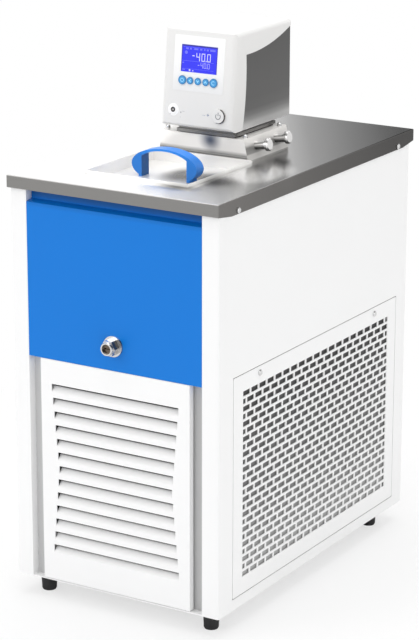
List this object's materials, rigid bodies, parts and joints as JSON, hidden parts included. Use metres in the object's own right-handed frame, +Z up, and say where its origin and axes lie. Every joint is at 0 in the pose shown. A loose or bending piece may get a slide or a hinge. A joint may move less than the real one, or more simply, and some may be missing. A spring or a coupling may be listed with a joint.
{
  "type": "refrigerated circulator",
  "caption": "Refrigerated circulating bath: tall cabinet with louvred front, side grille, lift-off lid and a pump and control head on a steel bridge.",
  "frame": {"origin": "on the floor, below the middle of the whole outline", "axes": "+Z up, the front with louvres and display faces -Y, the side with nozzles and grille faces +X"},
  "size_m": [0.3148, 0.5272, 0.7271],
  "materials": {
    "white_paint": "satin powder coat",
    "blue_paint": "satin powder coat",
    "black_paint": "satin",
    "brushed_steel": "brushed",
    "polished_steel": "polished",
    "bright_steel": "bright",
    "aluminium": "mill finish",
    "copper": "drawn copper",
    "grey_metal": "satin",
    "foot_rubber": "matte",
    "foam": "matte foam",
    "grey_plastic": "matte",
    "dark_plastic": "matte",
    "white_plastic": "satin",
    "blue_plastic": "satin",
    "red_plastic": "gloss",
    "membrane": "printed film",
    "display": "backlit window",
    "key_blue": "printed key",
    "board": "circuit board"
  },
  "bodies": {
    "cabinet": {"base_pan": "white_paint", "feet": "foot_rubber", "cabinet_screws": "bright_steel", "side_panel_left": "white_paint", "side_panel_right": "white_paint", "back_panel": "white_paint", "front_frame": "white_paint", "side_grille": "white_paint", "side_filter": "dark_plastic", "front_panel": "blue_paint", "dust_filter": "dark_plastic", "top_plate": "brushed_steel", "bath_frame": "grey_plastic", "bath_tank": "brushed_steel", "tank_insulation": "foam", "cooling_coil": "brushed_steel", "drain_tube": "brushed_steel", "drain_port": "bright_steel", "compressor": "black_paint", "compressor_grommets": "foot_rubber", "condenser": "aluminium", "fan_shroud": "black_paint", "fan_motor": "black_paint", "filter_drier": "copper", "refrigerant_lines": "copper", "bridge": "polished_steel", "bridge_posts": "bright_steel", "head_gasket": "foot_rubber", "head_base": "grey_metal", "head_cover": "white_plastic", "head_side_cover": "brushed_steel", "membrane_panel": "membrane", "display": "display", "sensor_socket": "dark_plastic", "control_board": "board", "pump_motor": "grey_metal", "pump_housing": "brushed_steel", "heater_coil": "brushed_steel", "temperature_probe": "brushed_steel", "level_rod": "brushed_steel", "pump_nozzles": "bright_steel", "power_inlet": "dark_plastic", "rocker_housing": "dark_plastic"},
    "lid_group": {"lid": "brushed_steel", "lid_handle": "blue_plastic", "handle_screws": "bright_steel"},
    "louvre": {"louvre_panel": "white_paint"},
    "plug": {"drain_plug": "dark_plastic"},
    "fan": {"fan_blade": "dark_plastic"},
    "select_key": {"key_select": "key_blue"},
    "left_key": {"key_left": "key_blue"},
    "down_key": {"key_down": "key_blue"},
    "up_key": {"key_up": "key_blue"},
    "enter_key": {"key_enter": "key_blue"},
    "power": {"power_button": "white_plastic"},
    "rotor": {"pump_rotor": "brushed_steel"},
    "float": {"level_float": "white_plastic"},
    "front_cap": {"nozzle_cap_front": "bright_steel"},
    "rear_cap": {"nozzle_cap_rear": "bright_steel"},
    "rocker": {"rear_rocker": "red_plastic"}
  },
  "joints": [
    {"name": "lid_lift", "type": "slide", "parent": "cabinet", "child": "lid_group", "axis": [0, 0, 1], "range_m": [0, 0.025]},
    {"name": "louvre_pull", "type": "slide", "parent": "cabinet", "child": "louvre", "axis": [0, -1, 0], "range_m": [0, 0.04]},
    {"name": "drain_plug_turn", "type": "hinge", "parent": "cabinet", "child": "plug", "pos_m": [0, -0.2586, 0.3617], "axis": [0, 1, 0], "continuous": true},
    {"name": "fan_spin", "type": "hinge", "parent": "cabinet", "child": "fan", "pos_m": [0, -0.1841, 0.1555], "axis": [0, 1, 0], "continuous": true},
    {"name": "key_select_press", "type": "slide", "parent": "cabinet", "child": "select_key", "axis": [0, 0.9944, -0.1061], "range_m": [0, 0.0006], "stiffness_N_per_m": 800},
    {"name": "key_left_press", "type": "slide", "parent": "cabinet", "child": "left_key", "axis": [0, 0.9944, -0.1061], "range_m": [0, 0.0006], "stiffness_N_per_m": 800},
    {"name": "key_down_press", "type": "slide", "parent": "cabinet", "child": "down_key", "axis": [0, 0.9944, -0.1061], "range_m": [0, 0.0006], "stiffness_N_per_m": 800},
    {"name": "key_up_press", "type": "slide", "parent": "cabinet", "child": "up_key", "axis": [0, 0.9944, -0.1061], "range_m": [0, 0.0006], "stiffness_N_per_m": 800},
    {"name": "key_enter_press", "type": "slide", "parent": "cabinet", "child": "enter_key", "axis": [0, 0.9944, -0.1061], "range_m": [0, 0.0006], "stiffness_N_per_m": 800},
    {"name": "power_press", "type": "slide", "parent": "cabinet", "child": "power", "axis": [0, 0.9944, -0.1061], "range_m": [0, 0.0015], "stiffness_N_per_m": 800},
    {"name": "pump_spin", "type": "hinge", "parent": "cabinet", "child": "rotor", "pos_m": [0, 0.0161, 0.5], "axis": [0, 0, 1], "continuous": true},
    {"name": "float_slide", "type": "slide", "parent": "cabinet", "child": "float", "axis": [0, 0, 1], "range_m": [-0.01, 0.01], "stiffness_N_per_m": 15},
    {"name": "front_cap_turn", "type": "hinge", "parent": "cabinet", "child": "front_cap", "pos_m": [0.06419, -0.0059, 0.58], "axis": [0.9866, 0, 0.1633], "continuous": true},
    {"name": "rear_cap_turn", "type": "hinge", "parent": "cabinet", "child": "rear_cap", "pos_m": [0.06419, 0.0451, 0.58], "axis": [0.9866, 0, 0.1633], "continuous": true},
    {"name": "rocker_tilt", "type": "hinge", "parent": "cabinet", "child": "rocker", "pos_m": [0.07, 0.2506, 0.16], "axis": [1, 0, 0], "range_deg": [-16, 0]}
  ]
}
